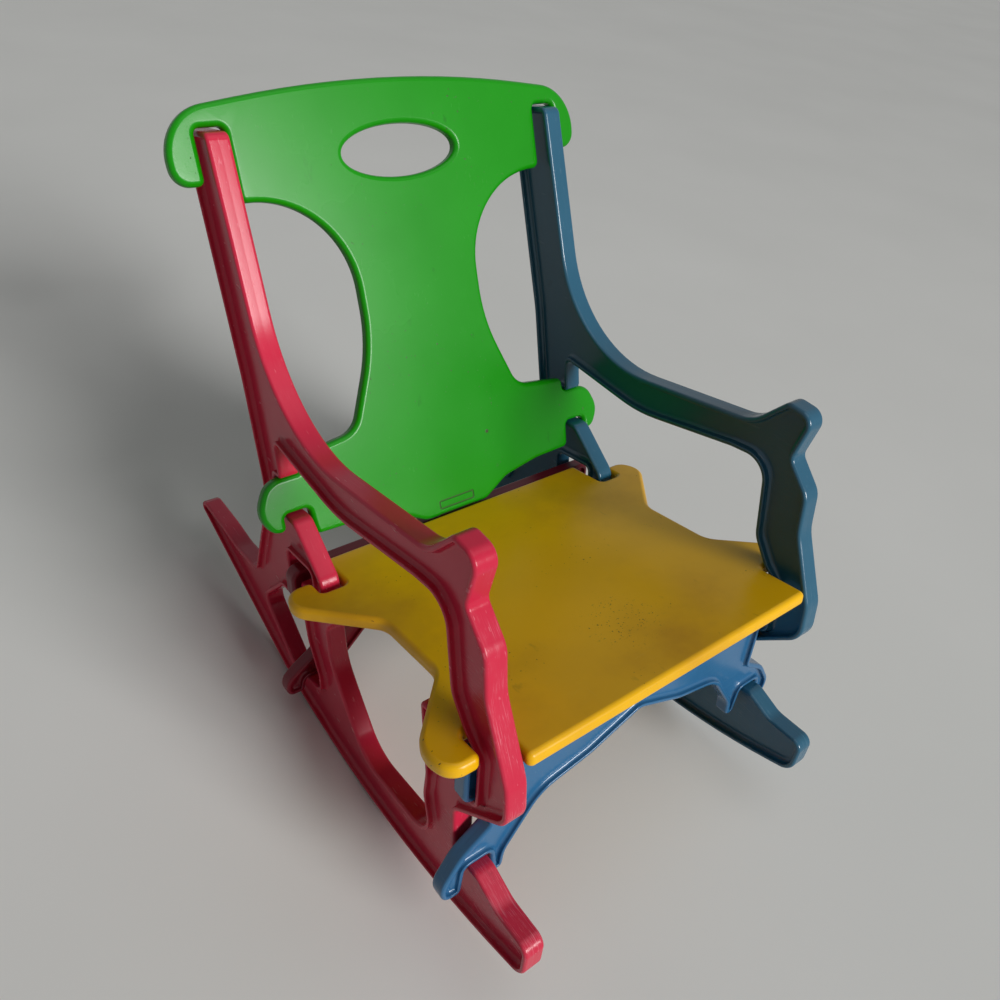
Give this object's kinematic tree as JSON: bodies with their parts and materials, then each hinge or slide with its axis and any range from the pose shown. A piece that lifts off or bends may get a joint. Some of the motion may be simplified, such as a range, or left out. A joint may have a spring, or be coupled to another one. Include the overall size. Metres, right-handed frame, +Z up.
{
  "type": "child's plastic rocking chair",
  "caption": "A low child's rocking chair of flat interlocking plastic panels: red and blue side frames with rockers, yellow seat, green backrest with a hand hole.",
  "frame": {"origin": "on the floor, in the middle of the chair's width and length, with the chair at rest on its rockers", "axes": "+Z up, +Y from the front of the chair to its rear, +X to the blue side frame"},
  "size_m": [0.3934, 0.5829, 0.5271],
  "materials": {
    "red_plastic": "glossy moulded, scuffed along the rims",
    "blue_plastic": "glossy moulded",
    "yellow_plastic": "worn semi-gloss, specked with dirt",
    "green_plastic": "glossy moulded"
  },
  "bodies": {
    "root": {"red_side_frame": "red_plastic", "blue_side_frame": "blue_plastic", "seat_panel": "yellow_plastic", "backrest_panel": "green_plastic", "front_apron": "blue_plastic", "rear_stretcher": "red_plastic"}
  },
  "joints": []
}
